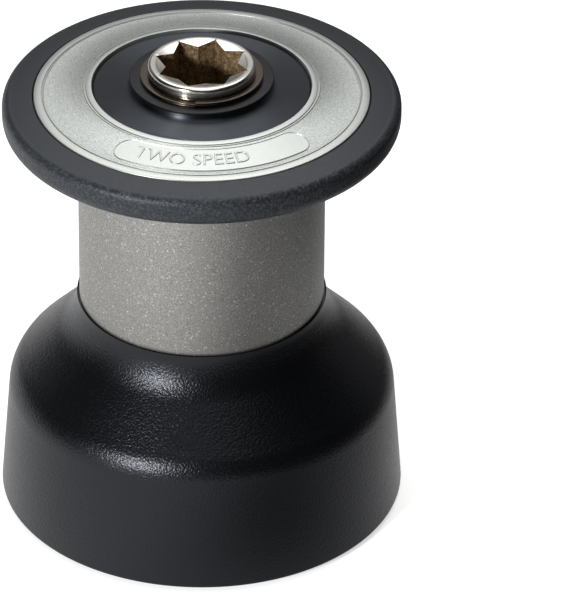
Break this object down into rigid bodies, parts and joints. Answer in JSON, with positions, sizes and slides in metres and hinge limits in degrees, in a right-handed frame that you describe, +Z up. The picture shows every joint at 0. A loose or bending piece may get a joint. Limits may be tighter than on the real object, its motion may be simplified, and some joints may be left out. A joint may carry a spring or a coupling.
{
  "type": "sailboat winch",
  "caption": "Plain-top winch with a grit-finished drum, flared black bell base, broad top flange and a star socket for a lock-in handle; turns its drum directly or through gears.",
  "frame": {"origin": "centre of the face that sits on the deck, on the winch axis", "axes": "+Z up along the winch axis, -Y towards the idler gear and the front of the label"},
  "size_m": [0.1082, 0.1082, 0.13],
  "materials": {
    "cast_base": "satin anodised casting",
    "steel_screws": "machined stainless steel",
    "bronze": "machined bronze",
    "bearing_plastic": "moulded acetal",
    "bell": "black with a fine leather grain",
    "sleeve": "grit blasted grip surface",
    "flange": "satin blue-grey moulding",
    "cap": "glossy black moulding",
    "label": "fine grained silver",
    "spindle_steel": "polished rim over a cast socket",
    "hard_steel": "ground tool steel",
    "spring_steel": "bright spring wire"
  },
  "bodies": {
    "base": {"deck_base": "cast_base", "bottom_plate": "cast_base", "plate_screws": "steel_screws", "lower_bush": "bronze", "upper_bush": "bronze", "thrust_disc": "bronze", "idler_pin": "steel_screws", "idler_washers": "bronze", "drum_thrust_washer": "bearing_plastic", "bearing_spacer": "bearing_plastic"},
    "drum": {"drum_bell": "bell", "drum_sleeve": "sleeve", "top_flange": "flange", "flange_screws": "steel_screws", "drum_cap": "cap", "ring_gear": "bronze", "ring_gear_screws": "steel_screws", "ratchet_ring": "hard_steel"},
    "label_ring": {"label_ring": "label"},
    "spindle": {"main_spindle": "spindle_steel", "pawl_carrier": "bronze", "spindle_washer": "cap", "retaining_ring": "steel_screws", "spindle_circlip": "steel_screws"},
    "upper_pawl_a": {"upper_pawl_a": "hard_steel", "upper_spring_a": "spring_steel"},
    "upper_pawl_b": {"upper_pawl_b": "hard_steel", "upper_spring_b": "spring_steel"},
    "lower_pawl_a": {"lower_pawl_a": "hard_steel", "lower_spring_a": "spring_steel"},
    "lower_pawl_b": {"lower_pawl_b": "hard_steel", "lower_spring_b": "spring_steel"},
    "pinion": {"pinion": "hard_steel"},
    "idler": {"idler_gear": "bronze", "idler_bush": "bronze"},
    "lower_bearing": {"lower_cage": "bearing_plastic", "lower_rollers": "hard_steel"},
    "upper_bearing": {"upper_cage": "bearing_plastic", "upper_rollers": "hard_steel"}
  },
  "joints": [
    {"name": "drum_spin", "type": "hinge", "parent": "base", "child": "drum", "pos_m": [0, 0, 0], "axis": [0, 0, 1], "continuous": true},
    {"name": "spindle_spin", "type": "hinge", "parent": "base", "child": "spindle", "pos_m": [0, 0, 0], "axis": [0, 0, 1], "continuous": true},
    {"name": "label_ring_lift", "type": "slide", "parent": "drum", "child": "label_ring", "axis": [0, 0, 1], "range_m": [0, 0.02]},
    {"name": "idler_spin", "type": "hinge", "parent": "base", "child": "idler", "pos_m": [0, -0.0294, 0], "axis": [0, 0, 1], "continuous": true},
    {"name": "pinion_spin", "type": "hinge", "parent": "base", "child": "pinion", "pos_m": [0, 0, 0], "axis": [0, 0, 1], "continuous": true},
    {"name": "lower_bearing_spin", "type": "hinge", "parent": "base", "child": "lower_bearing", "pos_m": [0, 0, 0], "axis": [0, 0, 1], "continuous": true},
    {"name": "upper_bearing_spin", "type": "hinge", "parent": "base", "child": "upper_bearing", "pos_m": [0, 0, 0], "axis": [0, 0, 1], "continuous": true},
    {"name": "upper_pawl_a_swing", "type": "hinge", "parent": "spindle", "child": "upper_pawl_a", "pos_m": [0.01524, 0.0088, 0.106], "axis": [0, 0, 1], "range_deg": [0, 16]},
    {"name": "upper_pawl_b_swing", "type": "hinge", "parent": "spindle", "child": "upper_pawl_b", "pos_m": [-0.01524, -0.0088, 0.106], "axis": [0, 0, 1], "range_deg": [0, 16]},
    {"name": "lower_pawl_a_swing", "type": "hinge", "parent": "spindle", "child": "lower_pawl_a", "pos_m": [0.0096, 0, 0.0115], "axis": [0, 0, -1], "range_deg": [0, 22]},
    {"name": "lower_pawl_b_swing", "type": "hinge", "parent": "spindle", "child": "lower_pawl_b", "pos_m": [-0.0096, 0, 0.0115], "axis": [0, 0, -1], "range_deg": [0, 22]}
  ],
  "couplings": [
    {"joint": "idler_spin", "follows": "drum_spin", "ratio": 3.3333},
    {"joint": "pinion_spin", "follows": "drum_spin", "ratio": -2.5},
    {"joint": "lower_bearing_spin", "follows": "drum_spin", "ratio": 0.57143},
    {"joint": "upper_bearing_spin", "follows": "drum_spin", "ratio": 0.57143}
  ]
}
